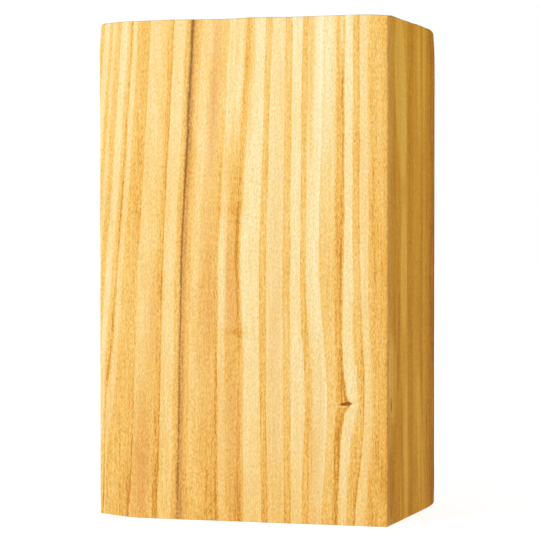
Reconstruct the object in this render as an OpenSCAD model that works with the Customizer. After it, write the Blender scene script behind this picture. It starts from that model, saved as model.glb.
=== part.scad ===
// Mezuzah case: a solid hardwood block that hangs on a dovetailed wall plate.
// Millimetres, +Z up, +X to the right, the front faces -Y and the doorpost is at +Y.
// The origin is at the bottom centre of the whole object's box.

/* [Block] */
// Width of the block
block_w = 60; // [56:1:80]
// Depth of the block, front to back
block_d = 40; // [34:1:60]
// Height of the block
block_h = 100; // [98:1:140]
// Radius of the eased edges
edge_r = 0.6; // [0.4:0.2:2]

/* [Wall plate] */
// Width of the plate on its wide side, inside the block
plate_w = 36; // [34:1:40]
// Height of the plate
plate_h = 90; // [88:1:92]
// Thickness of the plate
plate_t = 6; // [5:0.5:7]
// How far the plate stands proud of the block's back
plate_proud = 0.3; // [0.2:0.1:1]
// Corner radius at the plate's top, on its wide side
plate_corner_r = 6; // [4:1:8]
// Flank angle of the dovetail
dovetail_deg = 14; // [7:1:14]
// Running clearance between the plate and its groove
slide_gap = 0.2; // [0.15:0.05:0.4]

/* [Wall screw holes] */
// Distance between the two holes
screw_spacing = 60; // [40:5:70]
// Radius of the shank's hole
screw_hole_r = 2; // [1.5:0.25:2.5]
// Radius of the countersink at the plate's front
screw_head_r = 3.9; // [3:0.1:4.5]

/* [Scroll] */
// Height of the rolled parchment
scroll_h = 70; // [60:5:70]
// Width of the parchment before it is rolled
sheet_w = 70; // [60:5:70]
// Thickness of the parchment
sheet_t = 0.4; // [0.3:0.05:0.5]
// Radius of the roll
scroll_r = 5.5; // [5.4:0.1:5.7]
// Distance from one turn of the roll to the next
scroll_pitch = 1.1; // [0.9:0.05:1.2]
// Wall of the clear film around the roll
film_t = 0.25; // [0.2:0.05:0.3]

/* [Scroll channel] */
// Width of the channel, which is also its cutter's diameter
channel_w = 14; // [14:0.5:16]
// Depth of the channel below the groove's floor
channel_d = 13.6; // [13.2:0.2:16]
// Height of the channel's lower end
channel_bottom = 6; // [4:0.5:6]
// Height of the channel's upper end
channel_top = 85; // [85:0.5:87]

/* [Magnets] */
// Radius of each disc magnet
magnet_r = 3; // [2:0.5:3]
// Thickness of each disc magnet
magnet_t = 2; // [1:0.5:2]
// Distance of the magnets from the middle of the block
magnet_x = 13; // [12:0.5:13]
// Height of the magnets
magnet_z = 76; // [20:1:76]
// Gap around and under a magnet in its pocket
pocket_gap = 0.05; // [0.02:0.01:0.1]

/* [Adhesive strips] */
// Width of each foam strip
tape_w = 9; // [6:1:10]
// Height of each foam strip
tape_h = 72; // [50:1:74]
// Thickness of the foam
tape_t = 1; // [0.5:0.1:1.5]
// Distance of each strip's middle from the middle of the plate
tape_x = 9.5; // [8:0.5:10]
// Thickness of the release liner
liner_t = 0.2; // [0.15:0.05:0.3]
// How far the liner's pull tab reaches past the foam
tab_h = 4; // [2:1:6]

/* [Hidden] */

$fn = 64;
LEFT = -1;
RIGHT = 1;
CUT = 1; // how far a cutter runs past the face that it cuts
CORNER_BULGE = 0.02; // how far a round corner crosses the flanks that it joins, so that nothing is only tangent
SPIRAL_STEPS = 32; // points in one turn of the roll

total_d = block_d + plate_proud + tape_t + liner_t;
block_front = -total_d / 2;
block_back = block_front + block_d;
plate_back = block_back + plate_proud;
plate_front = plate_back - plate_t;
groove_floor = plate_front - slide_gap;
channel_floor = groove_floor - channel_d;
flank = tan(dovetail_deg);
middle_z = plate_h / 2;

// The roll is a spiral whose length is the sheet's width, so its inner radius follows from the outer one.
roll_inner_r = sqrt(pow(scroll_r, 2) - sheet_w * scroll_pitch / PI);
roll_turns = (scroll_r - roll_inner_r) / scroll_pitch;
film_inner_r = scroll_r + 0.1;
film_r = film_inner_r + film_t;
film_h = scroll_h + 2;

// The roll rests where its film meets the round lower end of the channel.
film_bottom = channel_bottom + channel_w / 2 - sqrt(pow(channel_w / 2, 2) - pow(film_r, 2)) + 0.1;
scroll_bottom = film_bottom + (film_h - scroll_h) / 2;
scroll_y = (groove_floor + channel_floor) / 2;

// A rectangle with round corners, centred on the origin
module rounded_rectangle(w, h, r) {
    square([w - 2 * r, h], center = true);
    square([w, h - 2 * r], center = true);
    for (x = [-1, 1], y = [-1, 1])
        translate([x * (w / 2 - r), y * (h / 2 - r)])
            circle(r);
}

// A box with every edge rounded, standing on the XY plane
module eased_box(w, d, h, r) {
    translate([0, 0, h / 2])
        intersection() {
            linear_extrude(h, center = true)
                rounded_rectangle(w, d, r);
            rotate([90, 0, 0])
                linear_extrude(d, center = true)
                    rounded_rectangle(w, h, r);
            rotate([0, 90, 0])
                linear_extrude(w, center = true)
                    rounded_rectangle(h, d, r);
        }
}

// A dovetailed panel with a round-cornered top. It is widest at y_front and narrows towards y_back.
module dovetail_panel(half_w, bottom, top, corner_r, y_front, y_back) {
    narrowing = (y_back - y_front) * flank;
    translate([0, 0, bottom])
        linear_extrude(top - corner_r - bottom)
            polygon([
                [-half_w, y_front], [half_w, y_front],
                [half_w - narrowing, y_back], [narrowing - half_w, y_back],
            ]);
    rotate([90, 0, 90])
        linear_extrude(2 * (half_w - corner_r), center = true)
            polygon([
                [y_front, bottom], [y_front, top],
                [y_back, top - narrowing], [y_back, bottom],
            ]);
    for (side = [LEFT, RIGHT])
        translate([side * (half_w - corner_r), y_front, top - corner_r])
            rotate([-90, 0, 0])
                cylinder(h = y_back - y_front, r1 = corner_r + CORNER_BULGE,
                    r2 = corner_r + CORNER_BULGE - narrowing);
}

// A disc whose flat face lies at height y and whose body runs towards +Y
module disc(x, y, z, r, thickness) {
    translate([x, y, z])
        rotate([-90, 0, 0])
            cylinder(h = thickness, r = r);
}

// The slot that a straight cutter leaves in the groove's floor, with round ends
module channel_cut() {
    depth = groove_floor - channel_floor + CUT;
    r = channel_w / 2;
    translate([-r, channel_floor, channel_bottom + r])
        cube([channel_w, depth, channel_top - channel_bottom - channel_w]);
    for (z = [channel_bottom + r, channel_top - r])
        disc(0, channel_floor, z, r, depth);
}

// The groove for the wall plate, open at the block's bottom
module groove_cut() {
    depth_behind = block_back + CUT - groove_floor;
    half_w = plate_w / 2 + slide_gap + slide_gap * flank;
    dovetail_panel(half_w, -CUT, plate_h + slide_gap + slide_gap * flank,
        plate_corner_r + slide_gap, groove_floor, groove_floor + depth_behind);
}

module screw_hole(z) {
    sink = screw_head_r - screw_hole_r;
    disc(0, plate_front - CUT, z, screw_hole_r, plate_t + 2 * CUT);
    translate([0, plate_front, z])
        rotate([-90, 0, 0])
            cylinder(h = sink, r1 = screw_head_r, r2 = screw_hole_r);
}

module case_block() {
    color("burlywood")
        difference() {
            translate([0, (block_front + block_back) / 2, 0])
                eased_box(block_w, block_d, block_h, edge_r);
            groove_cut();
            channel_cut();
            for (side = [LEFT, RIGHT])
                disc(side * magnet_x, groove_floor - magnet_t - pocket_gap, magnet_z,
                    magnet_r + pocket_gap, magnet_t + CUT);
        }
}

module wall_plate() {
    color("tan")
        difference() {
            dovetail_panel(plate_w / 2, 0, plate_h, plate_corner_r, plate_front, plate_back);
            for (end = [-1, 1])
                screw_hole(middle_z + end * screw_spacing / 2);
            for (side = [LEFT, RIGHT])
                disc(side * magnet_x, plate_front - CUT, magnet_z,
                    magnet_r + pocket_gap, magnet_t + pocket_gap + CUT);
        }
}

module case_magnet(side) {
    color("silver")
        disc(side * magnet_x, groove_floor - magnet_t, magnet_z, magnet_r, magnet_t);
}

module plate_magnet(side) {
    color("silver")
        disc(side * magnet_x, plate_front, magnet_z, magnet_r, magnet_t);
}

module tape(side) {
    color("whitesmoke")
        translate([side * tape_x - tape_w / 2, plate_back, middle_z - tape_h / 2])
            cube([tape_w, tape_t, tape_h]);
}

module liner(side) {
    color("gold")
        translate([side * tape_x - tape_w / 2, plate_back + tape_t, middle_z - tape_h / 2])
            cube([tape_w, liner_t, tape_h + tab_h]);
}

// The point at a given turn of the roll, moved off the sheet's inner face by offset
function spiral_point(turn, offset) =
    let (r = roll_inner_r + turn * scroll_pitch + offset)
    [r * cos(360 * turn), r * sin(360 * turn)];

module scroll() {
    steps = ceil(roll_turns * SPIRAL_STEPS);
    turns = [for (i = [0 : steps]) i * roll_turns / steps];
    inner = [for (turn = turns) spiral_point(turn, -sheet_t)];
    outer = [for (i = [steps : -1 : 0]) spiral_point(turns[i], 0)];
    color("wheat")
        translate([0, scroll_y, scroll_bottom])
            linear_extrude(scroll_h)
                polygon(concat(inner, outer));
}

module scroll_film() {
    color("lightcyan")
        translate([0, scroll_y, film_bottom])
            difference() {
                cylinder(h = film_h, r = film_r);
                translate([0, 0, -CUT])
                    cylinder(h = film_h + 2 * CUT, r = film_inner_r);
            }
}

wall_plate();
plate_magnet(LEFT);  // plate_magnet_left
plate_magnet(RIGHT);  // plate_magnet_right
tape(LEFT);  // tape_left
tape(RIGHT);  // tape_right
liner(LEFT);  // liner_left
liner(RIGHT);  // liner_right
case_block();
case_magnet(LEFT);  // case_magnet_left
case_magnet(RIGHT);  // case_magnet_right
scroll();
scroll_film();
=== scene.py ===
"""Looks of the mezuzah case: a sanded hardwood block on a dovetailed wall plate, with a parchment inside.

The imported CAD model's boxes give the pieces' places and sizes, and the few CAD sizes that no box shows are
repeated here. Lengths are in millimetres unless a comment says otherwise. Blender's own are in metres.
"""

import math

import bmesh
import bpy
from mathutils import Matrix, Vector, noise


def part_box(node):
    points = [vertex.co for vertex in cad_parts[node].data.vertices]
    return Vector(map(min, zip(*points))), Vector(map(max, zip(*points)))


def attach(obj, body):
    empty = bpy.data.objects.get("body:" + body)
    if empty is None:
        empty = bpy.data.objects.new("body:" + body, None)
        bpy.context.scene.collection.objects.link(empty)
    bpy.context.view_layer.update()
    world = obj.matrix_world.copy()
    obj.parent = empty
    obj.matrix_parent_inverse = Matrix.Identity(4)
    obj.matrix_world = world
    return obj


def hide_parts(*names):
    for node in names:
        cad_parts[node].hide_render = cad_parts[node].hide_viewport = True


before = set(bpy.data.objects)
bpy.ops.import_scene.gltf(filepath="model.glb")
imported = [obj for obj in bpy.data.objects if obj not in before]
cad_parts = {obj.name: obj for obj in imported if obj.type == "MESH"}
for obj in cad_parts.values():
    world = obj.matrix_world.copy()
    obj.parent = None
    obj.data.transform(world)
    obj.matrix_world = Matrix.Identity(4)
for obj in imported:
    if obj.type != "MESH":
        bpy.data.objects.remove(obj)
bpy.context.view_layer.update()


def mm(value):
    """Millimetres in metres."""
    return value * 0.001


def node_box(node):
    """The lowest and highest corner of a CAD node, in millimetres."""
    low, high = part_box(node)
    return low * 1000, high * 1000


BLOCK_LOW, BLOCK_HIGH = node_box("case_block")
PLATE_LOW, PLATE_HIGH = node_box("wall_plate")
SCROLL_LOW, SCROLL_HIGH = node_box("scroll")
FILM_LOW, FILM_HIGH = node_box("scroll_film")

# ----------------------------------------------------------------------------------------------------
# Node graphs
# ----------------------------------------------------------------------------------------------------


def srgb(red, green, blue):
    """A colour as seen on a screen, from 0 to 255, in the linear values that a shader takes."""
    linear = [
        c / 12.92 if c <= 0.04045 else ((c + 0.055) / 1.055) ** 2.4
        for c in (red / 255, green / 255, blue / 255)
    ]
    return (*linear, 1.0)


STOPS_IN_A_RAMP = 32


class Field:
    """A number, vector or colour that nodes work out. Arithmetic on a number adds Math nodes."""

    def __init__(self, look, socket):
        self.look = look
        self.socket = socket

    def __add__(self, other):
        return self.look.math("ADD", self, other)

    def __sub__(self, other):
        return self.look.math("SUBTRACT", self, other)

    def __rsub__(self, other):
        return self.look.math("SUBTRACT", other, self)

    def __mul__(self, other):
        return self.look.math("MULTIPLY", self, other)

    def __truediv__(self, other):
        return self.look.math("DIVIDE", self, other)

    def __neg__(self):
        return self.look.math("MULTIPLY", self, -1.0)

    def __abs__(self):
        return self.look.math("ABSOLUTE", self, 0.0)


class Look:
    """A material with one Principled shader, and the calls that build its node graph."""

    def __init__(self, name, **constants):
        self.material = bpy.data.materials.new(name)
        self.material.use_nodes = True
        self.tree = self.material.node_tree
        self.shader = self.tree.nodes["Principled BSDF"]
        for socket, value in constants.items():
            self.shader.inputs[socket.replace("_", " ")].default_value = value

    def node(self, kind, settings=(), **inputs):
        """A new node. settings are its own properties, and inputs are its sockets by name."""
        made = self.tree.nodes.new("ShaderNode" + kind)
        for name, value in dict(settings).items():
            setattr(made, name, value)
        for name, value in inputs.items():
            self.feed(made.inputs[name.replace("_", " ")], value)
        return made

    def feed(self, socket, value):
        if isinstance(value, Field):
            self.tree.links.new(value.socket, socket)
        else:
            socket.default_value = value

    def drive(self, socket, value):
        """Feeds one of the shader's own sockets."""
        self.feed(self.shader.inputs[socket], value)

    def math(self, operation, *values):
        made = self.node("Math", {"operation": operation})
        for socket, value in zip(made.inputs, values):
            self.feed(socket, value)
        return Field(self, made.outputs[0])

    def most(self, a, b):
        return self.math("MAXIMUM", a, b)

    def step(self, value, start, end):
        """0 before start and 1 after end, with a smooth rise between them. start may be above end."""
        made = self.node("MapRange", {"interpolation_type": "SMOOTHSTEP"}, Value=value)
        low, high, first, last = (start, end, 0.0, 1.0) if start < end else (end, start, 1.0, 0.0)
        for name, number in (("From Min", low), ("From Max", high), ("To Min", first), ("To Max", last)):
            made.inputs[name].default_value = number
        return Field(self, made.outputs[0])

    def bell(self, value, middle, half_width):
        """1 at middle, and about a third at half_width from it."""
        distance = (value - middle) / half_width
        return self.math("EXPONENT", -(distance * distance))

    def mound(self, across, up, place):
        """A bell in two directions. place is (across, up, half width, half height, height of the mound)."""
        middle, level, half_width, half_height, size = place
        aside = (across - middle) / half_width
        above = (up - level) / half_height
        return self.math("EXPONENT", -(aside * aside + above * above)) * size

    def ramp(self, value, stops):
        """A colour ramp. stops are (place from 0 to 1, linear colour)."""
        made = self.node("ValToRGB", Fac=value)
        elements = made.color_ramp.elements
        elements.remove(elements[1])
        for i, (place, colour) in enumerate(stops):
            element = elements.new(place) if i else elements[0]
            element.position = place
            element.color = colour
        return Field(self, made.outputs[0])

    def line(self, value, points):
        """The height at value of a line drawn through (place, height) points, which are in order."""
        start, span = points[0][0], points[-1][0] - points[0][0]
        heights = [height for _, height in points]
        low, rise = min(heights), max(heights) - min(heights)
        greys = [(height - low) / rise for height in heights]
        stops = [((place - start) / span, (grey, grey, grey, 1.0)) for (place, _), grey in zip(points, greys)]
        return self.ramp((value - start) / span, stops) * rise + low

    def chart(self, value, points):
        """line() for more points than one ramp holds."""
        height = points[0][1]
        for first in range(0, len(points) - 1, STOPS_IN_A_RAMP - 1):
            part = points[first : first + STOPS_IN_A_RAMP]
            height = self.line(value, part) - part[0][1] + height
        return height

    def coordinates(self, origin, output="Object"):
        """Object coordinates in millimetres, counted from origin, as one vector and as its three parts. A
        normal comes out 1000 long."""
        source = self.node("TexCoord").outputs[output]
        scaled = self.node("VectorMath", {"operation": "SCALE"}, Vector=Field(self, source), Scale=1000.0)
        moved = self.node("VectorMath", {"operation": "SUBTRACT"}, Vector=Field(self, scaled.outputs[0]))
        moved.inputs[1].default_value = origin
        parts = self.node("SeparateXYZ", Vector=Field(self, moved.outputs[0]))
        return Field(self, moved.outputs[0]), *(Field(self, part) for part in parts.outputs)

    def stretched(self, vector, lengths):
        """vector in units of lengths, so that a pattern made from it is that long each way."""
        made = self.node("VectorMath", {"operation": "DIVIDE"}, Vector=vector)
        made.inputs[1].default_value = lengths
        return Field(self, made.outputs[0])

    def noise(self, vector, lengths, detail=2.0, roughness=0.5):
        """Noise from about -0.5 to 0.5 whose lumps are about lengths long."""
        made = self.node(
            "TexNoise", Vector=self.stretched(vector, lengths), Scale=1.0, Detail=detail, Roughness=roughness
        )
        return Field(self, made.outputs[0]) - 0.5

    def cells(self, vector, lengths):
        """The distance to the nearest cell's middle, and that cell's random number, for cells lengths long."""
        made = self.node("TexVoronoi", Vector=self.stretched(vector, lengths), Scale=1.0)
        chance = self.node("SeparateColor", Color=Field(self, made.outputs["Color"]))
        return Field(self, made.outputs["Distance"]), Field(self, chance.outputs[0])

    def mix(self, share, first, second):
        """first, turning into second as share goes from 0 to 1."""
        made = self.node("Mix", {"data_type": "RGBA"})
        for i, value in ((0, share), (6, first), (7, second)):
            self.feed(made.inputs[i], value)
        return Field(self, made.outputs[2])

    def shaded(self, colour, brightness):
        """colour times brightness."""
        made = self.node("VectorMath", {"operation": "SCALE"}, Vector=colour, Scale=brightness)
        return Field(self, made.outputs[0])

    def bump(self, height, depth):
        """Sets the shader's normal from height, where 1 stands depth millimetres above 0."""
        made = self.node("Bump", Height=height, Distance=mm(depth), Strength=1.0)
        self.drive("Normal", Field(self, made.outputs[0]))


# ----------------------------------------------------------------------------------------------------
# Wood
# ----------------------------------------------------------------------------------------------------

# Places in the wood are counted from the front's lower left corner: across the front, behind it, and up.
RIGHT_EDGE = 60.0
HALF_HEIGHT = 50.0

# How dark the wood is across its growth rings: (place, tone), where 0 is the palest wood and 1 the darkest.
# A ring's place is where it crosses the front at half its height. Past RIGHT_EDGE it crosses the right side.
TONES = [
    (-3.6, 0.3), (-3.0, 0.5), (-2.5, 0.6), (-2.3, 0.25), (-1.4, 0.22), (-1.1, 0.5), (-0.6, 0.52),
    (-0.4, 0.28), (0.0, 0.3), (0.4, 0.55), (1.2, 0.55), (1.5, 0.22), (2.6, 0.2), (3.0, 0.45),
    (3.5, 0.5), (3.7, 0.84), (3.9, 0.68), (4.2, 0.27), (5.0, 0.3), (5.3, 0.56), (6.3, 0.6),
    (6.8, 0.64), (7.4, 0.6), (8.0, 0.58), (8.15, 0.7), (8.3, 0.32), (10.5, 0.35), (11.8, 0.42),
    (12.3, 0.46), (12.6, 0.64), (13.1, 0.62), (13.3, 0.82), (13.45, 0.68), (13.6, 0.28), (15.8, 0.26),
    (16.2, 0.52), (16.9, 0.56), (17.4, 0.62), (18.4, 0.6), (18.6, 0.52), (19.2, 0.5), (19.4, 0.38),
    (20.8, 0.38), (21.2, 0.5), (24.2, 0.56), (24.5, 0.8), (24.9, 0.72), (25.1, 0.32), (26.3, 0.32),
    (26.7, 0.52), (28.3, 0.6), (28.55, 0.86), (28.75, 0.7), (28.9, 0.74), (29.1, 0.52), (29.4, 0.42),
    (29.6, 0.15), (33.5, 0.17), (33.7, 0.66), (33.9, 0.5), (34.6, 0.52), (34.85, 0.7), (35.1, 0.22),
    (38.4, 0.27), (38.6, 0.64), (38.8, 0.48), (39.6, 0.5), (39.95, 0.58), (40.2, 0.16), (42.1, 0.17),
    (42.3, 0.66), (42.5, 0.5), (43.3, 0.58), (43.6, 0.15), (46.4, 0.16), (46.6, 0.5), (48.4, 0.48),
    (48.6, 0.38), (49.2, 0.4), (49.5, 0.66), (50.3, 0.68), (50.75, 0.86), (51.0, 0.7), (51.2, 0.16),
    (52.7, 0.17), (53.0, 0.52), (54.0, 0.6), (54.25, 0.8), (54.5, 0.26), (55.9, 0.3), (56.2, 0.52),
    (57.0, 0.66), (57.8, 0.6), (58.2, 0.5), (60.0, 0.54), (61.8, 0.55), (62.2, 0.7), (62.8, 0.52),
    (64.2, 0.5), (64.6, 0.3), (67.0, 0.28), (67.4, 0.55), (69.4, 0.62), (70.0, 0.42), (73.0, 0.4),
    (73.8, 0.66), (74.4, 0.7), (74.9, 0.38), (76.2, 0.4), (76.8, 0.62), (78.2, 0.66), (78.8, 0.8),
    (82.0, 0.86),
]
# How far the rings lean to the right at the block's top, and at its bottom, over the same places.
LEAN_AT_TOP = [
    (0, 3.7), (6, 3.6), (14, 2.5), (20, 2.7), (32, 3.0), (35, 1.5), (37, 1.6), (40, 0.6), (50, 0.5),
    (55, -0.2), (60, 0),
]
LEAN_AT_BOTTOM = [
    (0, -3.0), (1.0, -3.4), (1.4, -5.0), (4.0, -3.6), (6.8, -1.7), (9.0, -1.5), (13, -1.1), (18, -0.6),
    (30, 1.0), (35, 0.5), (44, 0.3), (49, -1.0), (54, -1.3), (60, 0),
]
# Places where rings are pushed aside: (across, up, half width, half height, how far to the right).
PUSHES = [
    (46.3, 56.0, 2.6, 17.0, -0.6),
    (29.3, 44.0, 3.0, 12.0, 0.4),
    (30.2, 28.0, 1.8, 11.0, 0.7),
    (50.8, 25.5, 1.6, 6.5, 0.85),
    (43.4, 26.0, 1.6, 14.0, 1.0),
    (47.3, 22.0, 1.8, 17.0, 1.75),
    (54.4, 23.0, 1.9, 17.0, 1.6),
    (57.2, 23.0, 1.3, 17.0, 1.0),
]
# The sharper push beside the knot: how far, its half width, its half height and its middle.
KNOT_PUSH, KNOT_PUSH_WIDTH, KNOT_PUSH_HEIGHT, KNOT_PUSH_ACROSS = 1.5, 1.5, 1.15, 52.0
# Patches that are darker or paler than the rest of their ring: (across, up, half width, half height, tone).
PATCHES = [
    (25.6, 47.0, 0.9, 24.0, -0.12),
    (27.6, 88.0, 1.1, 13.0, -0.42),
    (24.7, 88.0, 0.45, 15.0, -0.42),
    (29.9, 96.0, 0.7, 20.0, 0.32),
    (26.8, 68.5, 2.0, 6.0, 0.14),
    (22.3, 86.0, 2.4, 24.0, -0.16),
    (28.7, 50.0, 0.5, 11.0, 0.2),
    (27.0, 61.8, 2.6, 1.3, 0.14),
    (28.2, 37.6, 2.2, 0.9, 0.24),
    (10.0, 11.0, 1.7, 17.0, 0.26),
    (6.9, 6.0, 1.0, 18.0, -0.1),
    (50.5, 98.0, 0.6, 7.0, -0.45),
    (11.6, 35.0, 1.6, 14.0, 0.12),
    (50.4, 29.0, 0.7, 7.0, 0.18),
    (50.0, 17.0, 0.6, 5.0, 0.16),
    (47.4, 90.0, 1.5, 20.0, -0.45),
    (47.1, 12.0, 1.2, 18.0, -0.22),
    (44.1, 92.0, 0.6, 22.0, 0.32),
    (43.9, 16.0, 0.45, 24.0, 0.3),
    (28.0, -6.0, 20.0, 22.0, 0.2),
    (46.0, -5.0, 5.0, 20.0, 0.14),
    (57.8, 8.0, 3.0, 14.0, 0.08),
]
# Rosy brown patches: (across, up, half width, half height, strength).
ROSY = [
    (22.8, 42.0, 1.7, 24.0, 0.7),
    (27.4, 46.0, 1.2, 15.0, 0.85),
    (27.6, 18.0, 1.6, 20.0, 0.6),
    (22.4, 85.0, 0.85, 17.0, 1.0),
    (18.0, 50.0, 0.5, 60.0, 0.6),
    (10.0, 10.0, 1.6, 15.0, 0.9),
    (11.6, 38.0, 1.2, 11.0, 0.45),
    (36.7, 36.0, 1.5, 38.0, 0.32),
    (44.8, 6.0, 1.3, 20.0, 0.3),
]
# Flame figure on the right side: (behind the front, up, half depth, half height, lean, tone).
FLAMES = [
    (10.2, 85.0, 4.8, 18.0, -0.11, -0.36),
    (13.0, 50.0, 2.7, 14.0, 0.0, -0.26),
    (4.0, 28.5, 3.3, 9.5, -0.06, -0.3),
    (15.0, 13.0, 2.0, 17.0, -0.02, -0.2),
    (26.6, 13.0, 2.6, 18.0, -0.1, -0.26),
    (27.5, 90.0, 3.6, 18.0, 0.0, -0.16),
    (11.4, 13.0, 1.0, 16.0, -0.05, 0.28),
    (8.7, 36.0, 0.9, 11.0, 0.05, 0.24),
    (2.0, 56.0, 2.2, 18.0, 0.0, 0.12),
    (2.4, 8.0, 2.6, 8.0, 0.0, 0.16),
    (37.2, 52.0, 2.0, 26.0, 0.0, 0.14),
]
# The ring that the dark mineral line follows.
MINERAL_LINE = 17.3
# The knot on the front: its middle, its half sizes, the depth of its pit, and its slope.
KNOT_ACROSS, KNOT_UP = 51.6, 23.85
KNOT_HALF_WIDTH, KNOT_HALF_HEIGHT, KNOT_DEPTH = 1.3, 0.34, 0.45
KNOT_TILT = 0.1
# The small check on the right side: its middle, its half sizes and its depth.
CHECK_BEHIND, CHECK_UP = 2.8, 23.6
CHECK_HALF_WIDTH, CHECK_HALF_HEIGHT, CHECK_DEPTH = 0.22, 1.6, 0.7

# The rings are slanted sheets: a ring that is r across on the front is met at r - d * (SLANT + d * CURL) on a
# surface that lies d behind the front.
SLANT, CURL = 0.4, 0.004

# The wood's colours by tone, in front of the right edge and past it. The deeper ones past it are painted
# shade.
PALE = [
    (0.0, srgb(254, 240, 195)), (0.1, srgb(253, 233, 179)), (0.2, srgb(252, 225, 162)),
    (0.35, srgb(250, 212, 137)), (0.5, srgb(248, 202, 116)), (0.65, srgb(245, 193, 101)),
    (0.8, srgb(238, 179, 87)), (0.92, srgb(224, 159, 68)), (1.0, srgb(206, 142, 54)),
]
PAINTED_SHADE_HONEY = [
    (0.0, srgb(255, 198, 80)), (0.2, srgb(248, 185, 64)), (0.45, srgb(236, 168, 44)),
    (0.65, srgb(226, 154, 34)), (0.85, srgb(208, 137, 26)), (1.0, srgb(182, 116, 18)),
]
ROSY_BROWN = srgb(234, 170, 98)
PORE_BROWN = srgb(204, 134, 40)
MINERAL_BROWN = srgb(134, 84, 34)
# The knot's own brown, also painted into the check as the shade of its crack
KNOT_AND_CRACK_SHADE_BROWN = srgb(180, 112, 18)
RIM_CREAM = srgb(254, 222, 152)
ALBEDO = 0.79  # how much of its colour's light the wood gives back


def ring_shift(look, flat, behind, up, features):
    """How far to the right the rings lie from their place at half the block's height."""
    higher = look.most((up - HALF_HEIGHT) / HALF_HEIGHT, 0.0)
    lower = look.most((HALF_HEIGHT - up) / HALF_HEIGHT, 0.0)
    shift = look.line(flat, LEAN_AT_TOP) * higher + look.line(flat, LEAN_AT_BOTTOM) * lower
    if not features:
        return shift
    for place in PUSHES:
        shift = shift + look.mound(flat, up, place)
    off_knot = abs(up - KNOT_UP) / -KNOT_PUSH_HEIGHT
    in_front = look.step(behind, 12.0, 3.0)
    aside = look.bell(flat, KNOT_PUSH_ACROSS, KNOT_PUSH_WIDTH) * in_front
    return shift + look.math("EXPONENT", off_knot) * aside * KNOT_PUSH


def add_patches(look, depth, ring, up):
    for place in PATCHES:
        depth = depth + look.mound(ring, up, place)
    return depth


def add_flames(look, depth, across, wander, up):
    """The flame figure on the right side. wander is how far behind the front, with the rings' wandering."""
    on_right = look.step(across, RIGHT_EDGE - 6.0, RIGHT_EDGE - 1.0)
    for middle, level, half_depth, half_height, lean, amount in FLAMES:
        rise = up - level
        wide = (wander - middle - rise * lean) / half_depth
        high = rise / half_height
        depth = depth + look.step(wide * wide + high * high, 1.2, 0.5) * on_right * amount
    return depth


def add_rosy_patches(look, colour, ring, up):
    share = look.mound(ring, up, ROSY[0])
    for place in ROSY[1:]:
        share = look.most(share, look.mound(ring, up, place))
    return look.mix(share * 0.7, colour, ROSY_BROWN)


def add_mineral_line(look, colour, at, ring, up):
    """A dark line with a ragged edge, a browner halo on its right, and breaks where the grit is low."""
    ragged = look.noise(at, (0.35, 0.35, 0.6), detail=2) * 0.5
    aside = ring - MINERAL_LINE + ragged
    grit = look.noise(at, (0.3, 0.3, 0.5), detail=2) + look.noise(at, (2.5, 2.5, 7)) * 0.8
    half_width = look.step(up, 55.0, 95.0) * 0.16 + 0.26
    core = look.bell(aside, 0.0, half_width) * look.step(grit + up / 500, -0.3, 0.1)
    halo = look.bell(aside, 0.55, 0.3) * look.step(grit, 0.2, -0.2)
    colour = look.mix(look.bell(aside, 0.4, 0.8) * 0.4, colour, ROSY_BROWN)
    heavy = look.step(up, 20.0, 80.0) * 0.1 + 0.76
    return look.mix(look.most(core * heavy, halo * 0.42), colour, MINERAL_BROWN)


def add_knot(look, colour, across, behind, up):
    """The knot's dark eye, with a cream rim along its lower left."""
    wide = (across - KNOT_ACROSS) / KNOT_HALF_WIDTH
    high = (up - KNOT_UP - (across - KNOT_ACROSS) * KNOT_TILT) / KNOT_HALF_HEIGHT
    near = look.step(behind, 1.6, 0.9)
    reach = wide * wide + high * high
    rim = look.step(reach, 5.0, 2.0) * look.step(high, 0.2, -0.8) * look.step(wide, 0.6, -0.2)
    colour = look.mix(rim * near * 0.5, colour, RIM_CREAM)
    return look.mix(look.step(reach, 1.5, 0.5) * near * 0.85, colour, KNOT_AND_CRACK_SHADE_BROWN)


def add_check(look, colour, across, behind, up):
    """The small check on the right side, darkened with painted shade in and around its crack."""
    deep = (behind - CHECK_BEHIND) / CHECK_HALF_WIDTH
    tall = (up - CHECK_UP) / CHECK_HALF_HEIGHT
    on_side = look.step(across, RIGHT_EDGE - 1.5, RIGHT_EDGE - 0.8)
    # Painted shade: the crack and the wood close around it are darkened
    painted_crack_shade = look.step(deep * deep * 0.25 + tall * tall, 1.4, 0.3) * on_side
    return look.mix(painted_crack_shade * 0.75, colour, KNOT_AND_CRACK_SHADE_BROWN)


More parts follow.
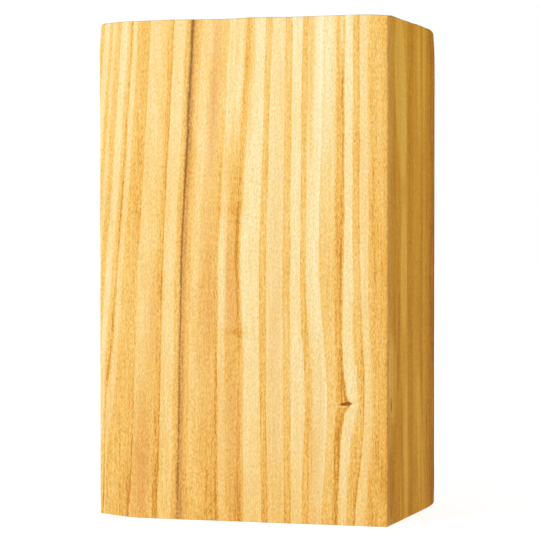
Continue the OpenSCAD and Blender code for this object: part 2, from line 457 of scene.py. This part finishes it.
def wood(name, origin, tone=0.0, features=True):
    """Oiled, finely sanded hardwood with its grain along Z. The rings' places are counted from origin. tone
    darkens it, and features adds the block's own patches, knot, check and line."""
    look = Look(name, Specular_IOR_Level=0.02)
    at, across, behind, up = look.coordinates(origin)

    # The ring that a point lies in
    slow = look.noise(at, (14, 14, 45)) * 0.6
    quick = look.noise(at, (2.2, 2.2, 20), detail=3) * 0.6
    fine = look.noise(at, (0.6, 0.6, 3.0)) * 0.3
    flat = across + behind * (behind * CURL + SLANT)
    ring = flat - ring_shift(look, flat, behind, up, features) + slow + quick + fine

    # How dark it is there
    strength = look.noise(at, (4, 4, 26)) * 0.8 + 1.0
    clouds = look.noise(at, (7, 7, 24), detail=3) * 0.22
    # Darker towards the bottom: partly the wood's own deeper tone, partly painted shade where the light falls
    # off
    darker_below_tone_and_shade = (1.0 - up / (2 * HALF_HEIGHT)) * 0.12
    depth = look.chart(ring, TONES) * strength + clouds + darker_below_tone_and_shade + (tone - 0.04)
    if features:
        depth = add_patches(look, depth, ring, up)
        depth = add_flames(look, depth, across, behind + quick * 1.5 + fine * 2.0, up)

    # Finer streaks and mottling, strongest where the wood is porous
    porous = look.step(depth, 0.25, 0.65)
    streaks = look.noise(at, (0.5, 0.5, 11), detail=3)
    mottle = look.noise(at, (0.26, 0.26, 1.2), detail=2)
    dust = look.noise(at, (0.2, 0.2, 0.6))
    depth = depth + streaks * (porous * 0.4 + 0.36) + mottle * (porous * 0.5 + 0.24) - dust * 0.3

    # Colour
    # Painted shade: past the right edge the wood takes deeper, more saturated colours, also on the back and
    # top
    painted_shade_share = look.step(flat, RIGHT_EDGE - 2.5, RIGHT_EDGE + 2.5)
    colour = look.mix(painted_shade_share, look.ramp(depth, PALE), look.ramp(depth, PAINTED_SHADE_HONEY))
    if features:
        colour = add_rosy_patches(look, colour, ring, up)

    # Fibres, speckle and pores
    fibres = look.noise(at, (0.35, 0.35, 14), detail=3)
    speckle = look.noise(at, (0.24, 0.24, 1.0), detail=2, roughness=0.6)
    chatter = look.noise(at, (8, 8, 0.5))
    distance, chance = look.cells(at, (0.36, 0.36, 1.4))
    pores = look.step(distance, 0.34, 0.14) * look.step(chance, 0.8, 0.5) * (porous * 0.75 + 0.25)
    on_side = look.step(flat, RIGHT_EDGE - 2.0, RIGHT_EDGE + 2.0)
    brightness = fibres * (on_side * 0.16 + 0.18) + speckle * (porous * 0.2 + 0.16) + 1.0
    brightness = brightness + chatter * (on_side * 0.1 + 0.05) + dust * (porous * 0.25 + 0.5)
    colour = look.mix(pores * 0.38, colour, PORE_BROWN)

    if features:
        colour = add_mineral_line(look, colour, at, ring, up)
        colour = add_knot(look, colour, across, behind, up)
        colour = add_check(look, colour, across, behind, up)

    # End grain drinks more oil, so it is darker
    *_, facing = look.coordinates((0, 0, 0), "Normal")
    end_grain = look.step(abs(facing), 600.0, 950.0)
    brightness = brightness * (1.0 - end_grain * 0.26)
    look.drive("Base Color", look.shaded(colour, brightness * ALBEDO))
    look.drive("Roughness", fibres * 0.2 + pores * 0.2 + 0.55)
    look.bump(fibres * 0.5 + speckle * 0.6 - pores, 0.03)
    return look.material


# ----------------------------------------------------------------------------------------------------
# Other materials
# ----------------------------------------------------------------------------------------------------


def nickel():
    look = Look("nickel", Metallic=1.0)
    at, *_ = look.coordinates((0, 0, 0))
    scuffs = look.noise(at, (0.25, 0.25, 0.25), detail=4, roughness=0.65)
    clouds = look.noise(at, (2.5, 2.5, 2.5))
    look.drive("Base Color", look.mix(clouds + 0.5, srgb(222, 219, 210), srgb(205, 200, 188)))
    look.drive("Roughness", scuffs * 0.3 + 0.24)
    look.bump(scuffs, 0.01)
    return look.material


def foam():
    look = Look("foam_tape", Roughness=0.9)
    at, *_ = look.coordinates((0, 0, 0))
    distance, _ = look.cells(at, (0.28, 0.28, 0.28))
    clouds = look.noise(at, (3, 3, 8))
    # Painted shade in the hollows between the foam's cells, with a random mottle on top
    hollow_shade_and_mottle = look.step(distance, 0.2, 0.7) * 0.5 + clouds
    look.drive("Base Color", look.mix(hollow_shade_and_mottle, srgb(238, 237, 231), srgb(206, 205, 198)))
    look.bump(distance, -0.12)
    return look.material


def liner_film():
    look = Look("liner_film")
    at, *_ = look.coordinates((0, 0, 0))
    waves = look.noise(at, (4, 4, 9), detail=3)
    scuffs = look.noise(at, (0.3, 0.3, 0.9), detail=3)
    look.drive("Base Color", look.mix(waves + 0.5, srgb(196, 48, 34), srgb(170, 34, 26)))
    look.drive("Roughness", scuffs * 0.3 + 0.3)
    look.bump(waves + scuffs * 0.1, 0.05)
    return look.material


def parchment():
    look = Look("parchment", Roughness=0.75)
    at, *_ = look.coordinates((0, 0, 0))
    clouds = look.noise(at, (6, 6, 9), detail=4)
    fibres = look.noise(at, (0.5, 0.5, 1.6), detail=4, roughness=0.6)
    distance, chance = look.cells(at, (0.7, 0.7, 0.9))
    follicles = look.step(distance, 0.14, 0.06) * look.step(chance, 0.6, 0.4)
    colour = look.mix(clouds * 2.2 + 0.5, srgb(252, 234, 184), srgb(234, 202, 138))
    colour = look.mix(follicles * 0.6, colour, srgb(160, 118, 70))
    look.drive("Base Color", look.shaded(colour, fibres * 0.3 + 1.0))
    look.bump(fibres * 0.6 - follicles, 0.05)
    return look.material


def clear_film():
    look = Look("clear_film", Roughness=0.08, Alpha=0.1)
    at, *_ = look.coordinates((0, 0, 0))
    creases = look.noise(at, (3, 3, 5), detail=4)
    look.drive("Base Color", look.mix(creases + 0.5, srgb(252, 250, 244), srgb(240, 236, 226)))
    look.bump(creases, 0.25)
    return look.material


# ----------------------------------------------------------------------------------------------------
# Meshes
# ----------------------------------------------------------------------------------------------------


def smooth(mesh, sharp_deg):
    """Shades a mesh smooth, except where faces meet at more than sharp_deg."""
    mesh.shade_smooth()
    mesh.set_sharp_from_angle(angle=math.radians(sharp_deg))


def make_object(name, mesh_builder, material, sharp_deg=35):
    """A new object from a bmesh in millimetres."""
    mesh = bpy.data.meshes.new(name)
    bmesh.ops.scale(mesh_builder, vec=(mm(1), mm(1), mm(1)), verts=mesh_builder.verts)
    bmesh.ops.recalc_face_normals(mesh_builder, faces=mesh_builder.faces)
    mesh_builder.to_mesh(mesh)
    mesh_builder.free()
    smooth(mesh, sharp_deg)
    made = bpy.data.objects.new(name, mesh)
    bpy.context.scene.collection.objects.link(made)
    if material:
        mesh.materials.append(material)
    return made


def spread(low, high, gap, edge, fine_gap, *details):
    """Places from low to high about gap apart, and fine_gap apart within edge of the ends. Each detail is the
    (start, end, gap) of a stretch with places of its own."""
    stretches = [(low, low + edge, fine_gap), (high - edge, high, fine_gap), *details]
    places = set()
    count = round((high - low) / gap)
    for i in range(count + 1):
        place = low + (high - low) * i / count
        if all(place < start - fine_gap or place > end + fine_gap for start, end, _ in stretches):
            places.add(round(place, 4))
    for start, end, fine in stretches:
        steps = round((end - start) / fine)
        places.update(round(start + (end - start) * i / steps, 4) for i in range(steps + 1))
    return sorted(places)


def lattice_box(xs, ys, zs):
    """A bmesh of a box whose faces are divided at the given places."""
    made = bmesh.new()
    corners = {}

    def vertex(*key):
        if key not in corners:
            corners[key] = made.verts.new((xs[key[0]], ys[key[1]], zs[key[2]]))
        return corners[key]

    counts = [len(xs) - 1, len(ys) - 1, len(zs) - 1]
    for axis in range(3):
        a, b = (axis + 1) % 3, (axis + 2) % 3
        for side in (0, counts[axis]):
            for i in range(counts[a]):
                for j in range(counts[b]):
                    keys = []
                    for da, db in ((0, 0), (1, 0), (1, 1), (0, 1)):
                        key = [0, 0, 0]
                        key[axis], key[a], key[b] = side, i + da, j + db
                        keys.append(vertex(*key))
                    made.faces.new(keys if side else keys[::-1])
    return made


def loft(sections):
    """A closed bmesh through sections, which are lists of the same number of points, with flat ends."""
    made = bmesh.new()
    rings = [[made.verts.new(point) for point in section] for section in sections]
    count = len(rings[0])
    for ring, following in zip(rings, rings[1:]):
        for i in range(count):
            j = (i + 1) % count
            made.faces.new((ring[i], ring[j], following[j], following[i]))
    made.faces.new(rings[0][::-1])
    made.faces.new(rings[-1])
    return made


def carve(target, cutter_mesh):
    """Takes a closed bmesh in millimetres away from target."""
    cutter = make_object("cutter", cutter_mesh, None)
    modifier = target.modifiers.new("cut", "BOOLEAN")
    modifier.operation = "DIFFERENCE"
    modifier.solver = "EXACT"
    modifier.object = cutter
    graph = bpy.context.evaluated_depsgraph_get()
    cut = bpy.data.meshes.new_from_object(target.evaluated_get(graph))
    target.modifiers.clear()
    target.data = cut
    bpy.data.objects.remove(cutter)


ARC_STEPS = 10  # steps in a quarter of a circle


def panel_outline(half_width, bottom, top, corner, inset=0.0):
    """(x, z) points round a panel with a round-cornered top, moved inwards by inset."""
    half_width, bottom, top, corner = half_width - inset, bottom + inset, top - inset, corner - inset
    points = [(-half_width, bottom), (half_width, bottom)]
    for side, start in ((1, 0), (-1, 90)):
        for i in range(ARC_STEPS + 1):
            angle = math.radians(start + 90 * i / ARC_STEPS)
            x = side * (half_width - corner) + corner * math.cos(angle)
            points.append((x, top - corner + corner * math.sin(angle)))
    return points


def slot_outline(half_width, bottom, top, inset=0.0):
    """(x, z) points round a slot with round ends, moved inwards by inset."""
    radius = half_width - inset
    points = []
    for centre, start in ((top - half_width, 0), (bottom + half_width, 180)):
        for i in range(2 * ARC_STEPS + 1):
            angle = math.radians(start + 90 * i / ARC_STEPS)
            points.append((radius * math.cos(angle), centre + radius * math.sin(angle)))
    return points


def circle_outline(x, z, radius, count=48):
    """(x, z) points round a circle."""
    angles = [2 * math.pi * i / count for i in range(count)]
    return [(x + radius * math.cos(a), z + radius * math.sin(a)) for a in angles]


def section(outline, depth):
    """An (x, z) outline as points at the given y."""
    return [(x, depth, z) for x, z in outline]


# CAD sizes that no node's box shows
DOVETAIL_DEG = 14
PLATE_CORNER = 6.0
SLIDE_GAP = 0.2
CHANNEL_HALF_WIDTH, CHANNEL_DEPTH = 7.0, 13.6
CHANNEL_BOTTOM, CHANNEL_TOP = 6.0, 85.0
MAGNET_POCKET_GAP = 0.05
SCREW_HEIGHTS = (15.0, 75.0)
SCREW_HOLE_R, SCREW_HEAD_R = 2.0, 3.9
SHEET_THICKNESS, SHEET_PITCH = 0.4, 1.1

# Sizes worked out from them and from the boxes
FLANK = math.tan(math.radians(DOVETAIL_DEG))
PLATE_HALF_WIDTH = PLATE_HIGH.x
PLATE_THICKNESS = PLATE_HIGH.y - PLATE_LOW.y
GROOVE_FLOOR = PLATE_LOW.y - SLIDE_GAP
ROLL_MIDDLE = (FILM_LOW.y + FILM_HIGH.y) / 2  # how far back the roll's axis is

SOFTENED = 0.3  # how far a cutter's mouth is chamfered
SIDES = ("left", "right")
CASE_MAGNETS = tuple("case_magnet_" + side for side in SIDES)
PLATE_MAGNETS = tuple("plate_magnet_" + side for side in SIDES)

FRONT_ROUND, BACK_ROUND = 0.34, 0.5  # how round the block's edges are in front, and how much more behind
CORNER_ROUND = 0.3  # how much more the front's upper left corner is rounded
FACE_HOLLOW = 0.06  # how far the block's faces wander inwards at most
TOP_WEAR, TOP_WEAR_REACH = 0.26, 4.0  # how much is sanded off the top, and how far down it is felt


def sanded_radius(point):
    """How round the block's edges are near a point: nearly sharp in front, softer behind."""
    wander = noise.noise(point / 9.0) * 0.12 + noise.noise(point / 3.0) * 0.05
    behind = (point.y - BLOCK_LOW.y) / (BLOCK_HIGH.y - BLOCK_LOW.y)
    from_corner = (point - Vector((BLOCK_LOW.x, BLOCK_LOW.y, BLOCK_HIGH.z))).length
    corner = CORNER_ROUND * math.exp(-(from_corner / 3.0) ** 2)
    return FRONT_ROUND + BACK_ROUND * max(0.0, behind) ** 3 + corner + wander


# Corners that were sanded with a long stroke: (left -1 or right 1, front -1 or back 1, bottom -1 or top 1,
# how far the stroke reaches, how much it takes off the height, how much off the width).
STROKES = [
    (-1, -1, -1, 5.0, 0.62, 0.05),
    (-1, -1, 1, 4.5, 0.3, 0.2),
    (1, -1, 1, 3.0, 0.12, 0.0),
    (1, 1, 1, 2.5, 0.1, 0.28),
    (-1, 1, 1, 4.0, 0.25, 0.2),
    (1, 1, -1, 2.5, 0.1, 0.1),
    (-1, 1, -1, 4.0, 0.15, 0.2),
]


def wear_corners(vertex, point):
    """Takes off what the strokes take at a vertex that was at point before the edges were rounded."""
    for across, along, height, reach, off_height, off_width in STROKES:
        corner = Vector((
            BLOCK_HIGH.x if across > 0 else BLOCK_LOW.x,
            BLOCK_HIGH.y if along > 0 else BLOCK_LOW.y,
            BLOCK_HIGH.z if height > 0 else BLOCK_LOW.z,
        ))
        away = point - corner
        aside = math.exp(-(away.xy.length / reach) ** 2)
        vertex.co.z -= height * off_height * aside * math.exp(-(away.z / 6.0) ** 2)
        vertex.co.x -= across * off_width * aside * math.exp(-(away.z / 3.5) ** 2)


def sand(mesh):
    """Rounds the edges of the block's lattice, wears its corners, and hollows its faces a little."""
    for vertex in mesh.verts:
        point = vertex.co.copy()
        radius = sanded_radius(point)
        inner = Vector(
            max(low + radius, min(high - radius, value))
            for value, low, high in zip(point, BLOCK_LOW, BLOCK_HIGH)
        )
        outward = point - inner
        if outward.length > 0:
            outward = outward.normalized()
        hollow = FACE_HOLLOW * (noise.noise(point / 21.0) + 1) / 2
        vertex.co = inner + outward * (radius - hollow)
        if point.z > BLOCK_HIGH.z - TOP_WEAR_REACH:
            uneven = noise.noise(Vector((point.x / 9.0, point.y / 5.0, 3.0)))
            vertex.co.z -= TOP_WEAR * (uneven + 0.7) / 1.4
        wear_corners(vertex, point)


def dent(mesh):
    """Presses the knot's pit into the front and the check into the right side."""
    left, front, right = BLOCK_LOW.x, BLOCK_LOW.y, BLOCK_HIGH.x
    for vertex in mesh.verts:
        x, y, z = vertex.co
        if y < front + 1:
            aside = x - left - KNOT_ACROSS
            wide = aside / KNOT_HALF_WIDTH
            high = (z - KNOT_UP - aside * KNOT_TILT) / KNOT_HALF_HEIGHT
            reach = wide * wide + high * high
            vertex.co.y += KNOT_DEPTH * max(0.0, 1 - reach) ** 0.7
            vertex.co.y += 0.1 * math.exp(-reach / 6)
        if x > right - 1:
            deep = (y - front - CHECK_BEHIND) / CHECK_HALF_WIDTH
            tall = (z - CHECK_UP) / CHECK_HALF_HEIGHT
            vertex.co.x -= CHECK_DEPTH * max(0.0, 1 - deep * deep - tall * tall)


def groove_cutter():
    """The dovetail groove, flared where it leaves the block's back."""
    half_width = PLATE_HALF_WIDTH + SLIDE_GAP * (1 + FLANK)
    top = PLATE_HIGH.z + SLIDE_GAP * (1 + FLANK)
    corner = PLATE_CORNER + SLIDE_GAP
    mouth = BLOCK_HIGH.y - SOFTENED
    sections = [(GROOVE_FLOOR, 0.0), (mouth, 0.0), (BLOCK_HIGH.y + 1, SOFTENED + 1)]
    outlines = []
    for depth, flare in sections:
        narrowing = (min(depth, mouth) - GROOVE_FLOOR) * FLANK - flare
        outlines.append(section(panel_outline(half_width, -2 - narrowing, top, corner, narrowing), depth))
    return loft(outlines)


def channel_cutter():
    """The scroll's channel, flared where it meets the groove's floor."""
    outlines = []
    for depth, flare in ((-CHANNEL_DEPTH, 0.0), (-SOFTENED, 0.0), (1.0, SOFTENED + 1.0)):
        outline = slot_outline(CHANNEL_HALF_WIDTH, CHANNEL_BOTTOM, CHANNEL_TOP, -flare)
        outlines.append(section(outline, GROOVE_FLOOR + depth))
    return loft(outlines)


def pocket_cutter(node, mouth, outward):
    """The pocket of one magnet. mouth is the y of the face that it opens in, and outward the way out of it."""
    low, high = node_box(node)
    middle, radius = (low + high) / 2, (high.x - low.x) / 2 + MAGNET_POCKET_GAP
    depth = high.y - low.y + MAGNET_POCKET_GAP
    sections = [
        section(circle_outline(middle.x, middle.z, radius + wider), mouth + outward * y)
        for y, wider in ((-depth, 0.0), (-0.1, 0.0), (0.9, 1.0))
    ]
    return loft(sections)


def edged(low, high, *details):
    """Places from low to high, closer and closer together towards the ends, where the edges are rounded."""
    near = [(low + 0.6, low + 2.4, 0.2), (high - 2.4, high - 0.6, 0.2)]
    return spread(low, high, 2.0, 0.48, 0.08, *near, *details)


def case_body(material):
    knot_x = BLOCK_LOW.x + KNOT_ACROSS
    check_y = BLOCK_LOW.y + CHECK_BEHIND
    xs = edged(BLOCK_LOW.x, BLOCK_HIGH.x, (knot_x - 1.8, knot_x + 1.8, 0.12))
    ys = edged(BLOCK_LOW.y, BLOCK_HIGH.y, (check_y - 0.36, check_y + 0.36, 0.06))
    round_knot = [
        (KNOT_UP - 2.2, KNOT_UP - 0.8, 0.28),
        (KNOT_UP - 0.6, KNOT_UP + 0.6, 0.08),
        (KNOT_UP + 0.8, KNOT_UP + 2.2, 0.28),
    ]
    zs = edged(BLOCK_LOW.z, BLOCK_HIGH.z, *round_knot)
    mesh = lattice_box(xs, ys, zs)
    sand(mesh)
    dent(mesh)
    body = make_object("case_body", mesh, material)
    carve(body, groove_cutter())
    carve(body, channel_cutter())
    for node in CASE_MAGNETS:
        carve(body, pocket_cutter(node, GROOVE_FLOOR, 1))
    smooth(body.data, 35)
    return body


def screw_cutter(height):
    """A through hole with a countersink on the plate's front and a small chamfer on its back."""
    sink = SCREW_HEAD_R - SCREW_HOLE_R
    steps = [
        (PLATE_LOW.y - 1, SCREW_HEAD_R + 1), (PLATE_LOW.y + sink, SCREW_HOLE_R),
        (PLATE_HIGH.y - 0.2, SCREW_HOLE_R), (PLATE_HIGH.y + 0.8, SCREW_HOLE_R + 1),
    ]
    return loft([section(circle_outline(0, height, radius), y) for y, radius in steps])


def plate_body(material):
    """The dovetailed plate with eased edges. It narrows towards its back."""
    ease = 0.35
    eased = [(0.0, ease), (ease * 0.3, ease * 0.3), (ease, 0.0)]
    sections = []
    for depth, inset in eased + [(PLATE_THICKNESS - depth, inset) for depth, inset in reversed(eased)]:
        narrowing = depth * FLANK
        outline = panel_outline(
            PLATE_HALF_WIDTH, PLATE_LOW.z - narrowing, PLATE_HIGH.z, PLATE_CORNER, inset + narrowing
        )
        sections.append(section(outline, PLATE_LOW.y + depth))
    body = make_object("plate_body", loft(sections), material)
    for height in SCREW_HEIGHTS:
        carve(body, screw_cutter(height))
    for node in PLATE_MAGNETS:
        carve(body, pocket_cutter(node, PLATE_LOW.y, -1))
    smooth(body.data, 25)
    return body


def magnet_body(node, material):
    """A plated disc with softly rounded rims."""
    low, high = node_box(node)
    middle, radius, thickness = (low + high) / 2, (high.x - low.x) / 2, high.y - low.y
    rim = 0.25
    angles = [math.pi / 2 * i / 4 for i in range(5)]
    rounded = [(rim * (1 - math.cos(angle)), rim * (1 - math.sin(angle))) for angle in angles]
    steps = rounded + [(thickness - depth, inset) for depth, inset in reversed(rounded)]
    sections = [
        section(circle_outline(middle.x, middle.z, radius - inset, 64), low.y + depth)
        for depth, inset in steps
    ]
    return make_object(node + "_plated", loft(sections), material, sharp_deg=50)


FOAM_INSET, FOAM_PINCH, FOAM_RAGGED = 0.06, 0.14, 0.05


def tape_profile(across):
    """(side from -1 to 1, share of the thickness) points round a strip, across steps to its thickness."""
    up = [(-1.0, i / across) for i in range(across + 1)]
    over = [(-1.0 + i / across, 1.0) for i in range(1, across * 2)]
    down = [(1.0, 1 - i / across) for i in range(across + 1)]
    back = [(1.0 - i / across, 0.0) for i in range(1, across * 2)]
    return up + over + down + back


def tape_body(node, material):
    """A foam strip. Its long sides are ragged and bulge a little between the two skins."""
    low, high = node_box(node)
    middle, half_width, thickness = (low.x + high.x) / 2, (high.x - low.x) / 2, high.y - low.y
    sections = []
    for z in spread(low.z, high.z, 1.5, 0.4, 0.2):
        points = []
        for side, share in tape_profile(8):
            pinch, ragged = 0.0, 0.0
            if abs(side) == 1:
                pinch = FOAM_PINCH * (2 * share - 1) ** 2
                ragged = FOAM_RAGGED * noise.noise(Vector((side * 9, share * 3, z / 1.3)))
            x = middle + side * (half_width - FOAM_INSET - pinch) + ragged
            points.append((x, low.y + thickness * share, z))
        sections.append(points)
    return make_object(node + "_foam", loft(sections), material, sharp_deg=40)


def wall(pairs):
    """A closed outline from pairs of points on the two faces of a sheet, in order along it."""
    return [first for first, _ in pairs] + [second for _, second in reversed(pairs)]


LINER_THICKNESS, LINER_CORNER = 0.12, 0.8
LINER_CURL, LINER_RIPPLE = 0.55, 0.03
LINER_STEPS = 12  # steps across a liner's width


def liner_body(node, material):
    """A release liner that lies flat on the foam and whose tab curls in a little towards the plate."""
    low, high = node_box(node)
    foam_top = node_box(node.replace("liner", "tape"))[1].z
    middle, half_width = (low.x + high.x) / 2, (high.x - low.x) / 2
    sections = []
    for z in spread(low.z, high.z, 1.5, 0.4, 0.2, (foam_top, high.z - 0.5, 0.3)):
        into_corner = max(0.0, LINER_CORNER - min(z - low.z, high.z - z))
        cut = LINER_CORNER - math.sqrt(max(0.0, LINER_CORNER ** 2 - into_corner ** 2))
        curl = LINER_CURL * (max(0.0, z - foam_top) / (high.z - foam_top)) ** 2
        pairs = []
        for i in range(LINER_STEPS + 1):
            x = middle + (half_width - cut) * (2 * i / LINER_STEPS - 1)
            y = high.y + LINER_RIPPLE * (noise.noise(Vector((x / 3, z / 6, low.x))) - 1) - curl
            pairs.append(((x, y, z), (x, y - LINER_THICKNESS, z)))
        sections.append(wall(pairs))
    return make_object(node + "_film", loft(sections), material, sharp_deg=40)


def rolled(radius, thickness, angle, z):
    """The points at angle on the outer and the inner face of a sheet rolled round the scroll's axis."""
    return [
        (face * math.cos(angle), ROLL_MIDDLE + face * math.sin(angle), z)
        for face in (radius, radius - thickness)
    ]


ROLL_TURNS, STEPS_IN_A_TURN = 2.8, 56
SHEET_EDGE_TURN = 0.36  # turns the roll so that the sheet's outer edge shows in the channel


def scroll_body(material):
    """Blank parchment, rolled loosely: its turns drift apart and its ends are cut a little unevenly."""
    outer = (SCROLL_HIGH.x - SCROLL_LOW.x + SCROLL_HIGH.y - SCROLL_LOW.y) / 4 - 0.05
    steps = round(ROLL_TURNS * STEPS_IN_A_TURN)
    sections = []
    for z in spread(SCROLL_LOW.z, SCROLL_HIGH.z, 2.0, 0.8, 0.4):
        level = (z - SCROLL_LOW.z) / (SCROLL_HIGH.z - SCROLL_LOW.z)
        pairs = []
        for i in range(steps + 1):
            turn = ROLL_TURNS * i / steps
            angle = 2 * math.pi * (turn + SHEET_EDGE_TURN)
            place = Vector((math.cos(angle) * 1.5, math.sin(angle) * 1.5 + turn * 5, level * 5))
            radius = outer - (ROLL_TURNS - turn) * SHEET_PITCH + 0.12 * noise.noise(place)
            end = 0.18 * noise.noise(Vector((turn * 2.2, 4.0, 1.0 if level > 0.5 else 7.0)))
            uneven = end * abs(2 * level - 1) ** 8 - 0.18 * (2 * level - 1) ** 9
            pairs.append(rolled(radius, SHEET_THICKNESS, angle, z + uneven))
        sections.append(wall(pairs))
    return make_object("scroll_parchment", loft(sections), material, sharp_deg=60)


FILM_THICKNESS, FILM_LAP = 0.08, 0.08
FILM_TURNS, FILM_STEPS = 1.08, 108
FILM_EDGE_TURN = 0.3


def film_body(material):
    """A clear sleeve round the roll, with a lapped seam and creased ends."""
    outer = (FILM_HIGH.x - FILM_LOW.x) / 2 - 0.13
    sections = []
    for z in spread(FILM_LOW.z, FILM_HIGH.z, 2.0, 2.0, 0.5):
        level = (z - FILM_LOW.z) / (FILM_HIGH.z - FILM_LOW.z)
        crease = 0.05 + 0.1 * abs(2 * level - 1) ** 10
        pairs = []
        for i in range(FILM_STEPS + 1):
            turn = FILM_TURNS * i / FILM_STEPS
            angle = 2 * math.pi * (turn + FILM_EDGE_TURN)
            wave = noise.noise(Vector((math.cos(angle) * 3, math.sin(angle) * 3, level * 6))) - 0.6
            radius = outer + FILM_LAP * turn + crease * wave * 0.5
            pairs.append(rolled(radius, FILM_THICKNESS, angle, z))
        sections.append(wall(pairs))
    return make_object("scroll_sleeve", loft(sections), material, sharp_deg=60)


def dress(piece, body, node):
    """Puts a piece in place of a CAD node, on that node's body."""
    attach(piece, body)
    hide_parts(node)


# ----------------------------------------------------------------------------------------------------
# The object
# ----------------------------------------------------------------------------------------------------

CASE, MOUNT = "case", "wall_mount"
PLATE_RINGS_START = (PLATE_LOW.x - 30, PLATE_LOW.y, 3.0)  # the plate is another part of the board

block_wood = wood("case_wood", BLOCK_LOW)
plate_wood = wood("plate_wood", PLATE_RINGS_START, tone=0.05, features=False)
dress(case_body(block_wood), CASE, "case_block")
dress(plate_body(plate_wood), MOUNT, "wall_plate")

nickel_plate = nickel()
for body, magnets in ((CASE, CASE_MAGNETS), (MOUNT, PLATE_MAGNETS)):
    for magnet in magnets:
        dress(magnet_body(magnet, nickel_plate), body, magnet)

foam_tape, release_film = foam(), liner_film()
for side in SIDES:
    dress(tape_body("tape_" + side, foam_tape), MOUNT, "tape_" + side)
    dress(liner_body("liner_" + side, release_film), MOUNT, "liner_" + side)

dress(scroll_body(parchment()), CASE, "scroll")
dress(film_body(clear_film()), CASE, "scroll_film")

# ----------------------------------------------------------------------------------------------------
# Stage, light and camera. The lamp and the camera are placed in metres.
# ----------------------------------------------------------------------------------------------------

FLOOR_HALF, FLOOR_DROP = 4000.0, 0.05
# The floor glows a little, so that it is as white as the backdrop: at the object, far from it, and the
# distances between which it brightens.
FLOOR_NEAR, FLOOR_FAR = 0.85, 1.0
FLOOR_BRIGHTENS = (50.0, 600.0)

OBJECT_MIDDLE = Vector((0, 0, 0.05))
KEY_POWER, KEY_SIZE, KEY_PLACE = 4.75, 0.5, (-0.42, -0.62, 0.42)
SKY_LIGHT, SKY_SEEN = 0.47, 1.0  # how bright the sky is as a light, and how bright the backdrop looks

# The camera's angles and lens are those of the photograph.
CAMERA_AZIMUTH, CAMERA_ELEVATION = math.radians(17.29), math.radians(0.84)
CAMERA_DISTANCE, CAMERA_LENS, CAMERA_SENSOR = 0.48, 158.6, 36.0
CAMERA_TARGET = Vector((0.00286, -0.0106, 0.04986))


def floor():
    look = Look("floor", Roughness=0.9, Emission_Color=(1, 1, 1, 1))
    at, across, behind, _ = look.coordinates((0, 0, 0))
    away = look.math("SQRT", across * across + behind * behind)
    grain = look.noise(at, (40, 40, 40), detail=3)
    look.drive("Base Color", look.mix(grain + 0.5, srgb(150, 150, 150), srgb(146, 146, 146)))
    look.drive("Emission Strength", look.step(away, *FLOOR_BRIGHTENS) * (FLOOR_FAR - FLOOR_NEAR) + FLOOR_NEAR)
    mesh = bmesh.new()
    bmesh.ops.create_grid(mesh, x_segments=8, y_segments=8, size=FLOOR_HALF)
    ground = make_object("floor", mesh, look.material)
    ground.location.z = -mm(FLOOR_DROP)


def aim(thing, place, target):
    """Puts a lamp or a camera at place and turns it to target."""
    thing.location = place
    thing.rotation_euler = (Vector(target) - Vector(place)).to_track_quat("-Z", "Y").to_euler()
    bpy.context.scene.collection.objects.link(thing)


def key_light():
    lamp = bpy.data.lights.new("key", "AREA")
    lamp.energy, lamp.size = KEY_POWER, KEY_SIZE
    aim(bpy.data.objects.new("key", lamp), KEY_PLACE, OBJECT_MIDDLE)


def studio_sky():
    """A white backdrop that lights the object less than it shows."""
    world = bpy.data.worlds.new("studio")
    bpy.context.scene.world = world
    world.use_nodes = True
    nodes, links = world.node_tree.nodes, world.node_tree.links
    sky = nodes["Background"]
    sky.inputs["Color"].default_value = (1, 1, 1, 1)
    ray = nodes.new("ShaderNodeLightPath")
    strength = nodes.new("ShaderNodeMapRange")
    strength.inputs["To Min"].default_value = SKY_LIGHT
    strength.inputs["To Max"].default_value = SKY_SEEN
    links.new(ray.outputs["Is Camera Ray"], strength.inputs["Value"])
    links.new(strength.outputs["Result"], sky.inputs["Strength"])


def photo_camera():
    back_off = Vector((
        math.sin(CAMERA_AZIMUTH) * math.cos(CAMERA_ELEVATION),
        -math.cos(CAMERA_AZIMUTH) * math.cos(CAMERA_ELEVATION),
        math.sin(CAMERA_ELEVATION),
    ))
    lens = bpy.data.cameras.new("camera")
    lens.lens, lens.sensor_width = CAMERA_LENS, CAMERA_SENSOR
    lens.clip_start, lens.clip_end = 0.01, 50.0
    camera = bpy.data.objects.new("camera", lens)
    aim(camera, CAMERA_TARGET + back_off * CAMERA_DISTANCE, CAMERA_TARGET)
    bpy.context.scene.camera = camera


floor()
key_light()
studio_sky()
photo_camera()
bpy.context.scene.view_settings.view_transform = "Standard"

bpy.context.view_layer.update()
